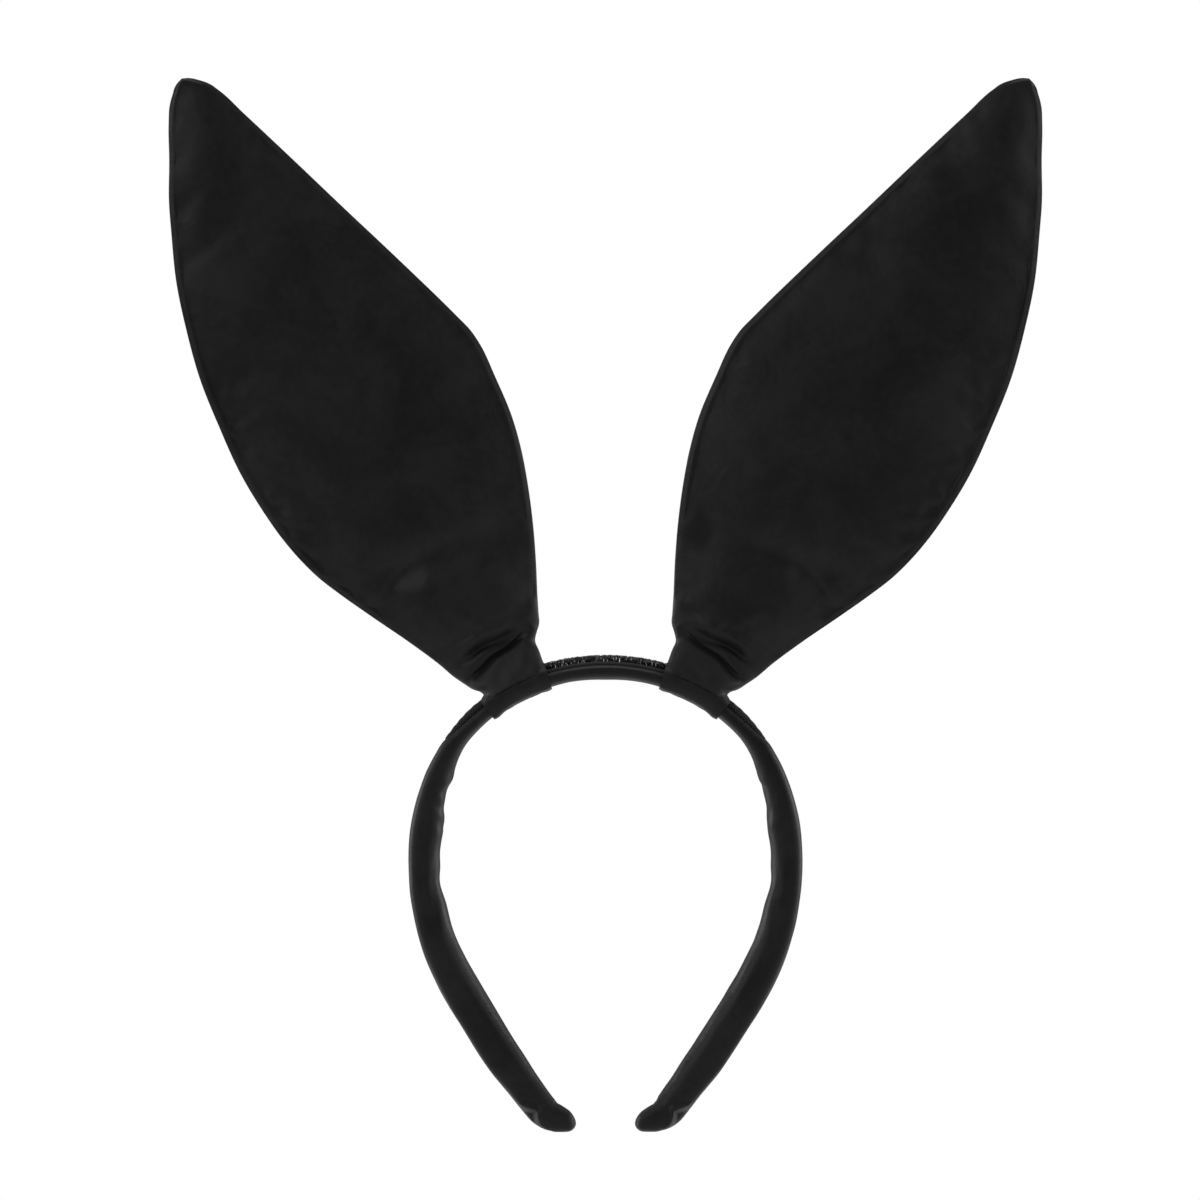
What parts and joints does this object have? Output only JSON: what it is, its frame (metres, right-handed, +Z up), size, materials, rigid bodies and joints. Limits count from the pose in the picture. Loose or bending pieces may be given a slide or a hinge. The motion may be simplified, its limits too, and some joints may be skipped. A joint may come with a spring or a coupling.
{
  "type": "animal ears headband",
  "caption": "Satin-covered rabbit ears headband: padded springy band, hook tape crown, and tall wired ears that re-seat, lean and fold.",
  "frame": {"origin": "centre of the crown arc, the middle of the head opening", "axes": "+Z up towards the ears, -Y the wearer's front, +X the wearer's left"},
  "size_m": [0.2884, 0.0168, 0.3484],
  "materials": {
    "satin": "black polyester satin",
    "hook_tape": "black nylon hook tape",
    "loop_tape": "black brushed nylon loop",
    "thread": "black polyester sewing thread",
    "foam": "grey open-cell foam",
    "wadding": "white polyester wadding",
    "core_plastic": "black springy plastic strip",
    "wire": "soft bright steel wire"
  },
  "bodies": {
    "crown": {"band_core_crown": "core_plastic", "band_foam_crown": "foam", "band_sleeve_crown": "satin", "hook_tape": "hook_tape", "tape_stitching_front": "thread", "tape_stitching_back": "thread"},
    "left_leg": {"band_core_leg_left": "core_plastic", "band_foam_leg_left": "foam", "band_sleeve_leg_left": "satin"},
    "left_foot": {"ear_strap_left": "satin", "ear_loop_tape_left": "loop_tape", "ear_stem_left": "satin", "ear_binding_thread_left": "thread", "ear_wire_tails_left": "wire"},
    "left_ear_lower": {"ear_front_lower_left": "satin", "ear_back_lower_left": "satin", "ear_wire_lower_left": "wire", "ear_wadding_lower_left": "wadding"},
    "left_ear_upper": {"ear_front_upper_left": "satin", "ear_back_upper_left": "satin", "ear_wire_upper_left": "wire", "ear_wadding_upper_left": "wadding"},
    "right_leg": {"band_core_leg_right": "core_plastic", "band_foam_leg_right": "foam", "band_sleeve_leg_right": "satin"},
    "right_foot": {"ear_strap_right": "satin", "ear_loop_tape_right": "loop_tape", "ear_stem_right": "satin", "ear_binding_thread_right": "thread", "ear_wire_tails_right": "wire"},
    "right_ear_lower": {"ear_front_lower_right": "satin", "ear_back_lower_right": "satin", "ear_wire_lower_right": "wire", "ear_wadding_lower_right": "wadding"},
    "right_ear_upper": {"ear_front_upper_right": "satin", "ear_back_upper_right": "satin", "ear_wire_upper_right": "wire", "ear_wadding_upper_right": "wadding"}
  },
  "joints": [
    {"name": "left_leg_flex", "type": "hinge", "parent": "crown", "child": "left_leg", "pos_m": [0.05606, 0, 0.03503], "axis": [0, -1, 0], "range_deg": [0, 25], "stiffness_Nm_per_rad": 0.8},
    {"name": "left_ear_shift", "type": "hinge", "parent": "crown", "child": "left_foot", "pos_m": [0, 0, 0], "axis": [0, 1, 0], "range_deg": [-6, 12]},
    {"name": "left_ear_lean", "type": "hinge", "parent": "left_foot", "child": "left_ear_lower", "pos_m": [0.03486, 0, 0.06697], "axis": [0.887, 0, -0.4617], "range_deg": [-60, 60]},
    {"name": "left_ear_fold", "type": "hinge", "parent": "left_ear_lower", "child": "left_ear_upper", "pos_m": [0.08565, 0, 0.16454], "axis": [0.887, 0, -0.4617], "range_deg": [-30, 90]},
    {"name": "right_leg_flex", "type": "hinge", "parent": "crown", "child": "right_leg", "pos_m": [-0.05606, 0, 0.03503], "axis": [0, 1, 0], "range_deg": [0, 25], "stiffness_Nm_per_rad": 0.8},
    {"name": "right_ear_shift", "type": "hinge", "parent": "crown", "child": "right_foot", "pos_m": [0, 0, 0], "axis": [0, -1, 0], "range_deg": [-6, 12]},
    {"name": "right_ear_lean", "type": "hinge", "parent": "right_foot", "child": "right_ear_lower", "pos_m": [-0.03486, 0, 0.06697], "axis": [0.887, 0, 0.4617], "range_deg": [-60, 60]},
    {"name": "right_ear_fold", "type": "hinge", "parent": "right_ear_lower", "child": "right_ear_upper", "pos_m": [-0.08565, 0, 0.16454], "axis": [0.887, 0, 0.4617], "range_deg": [-30, 90]}
  ]
}
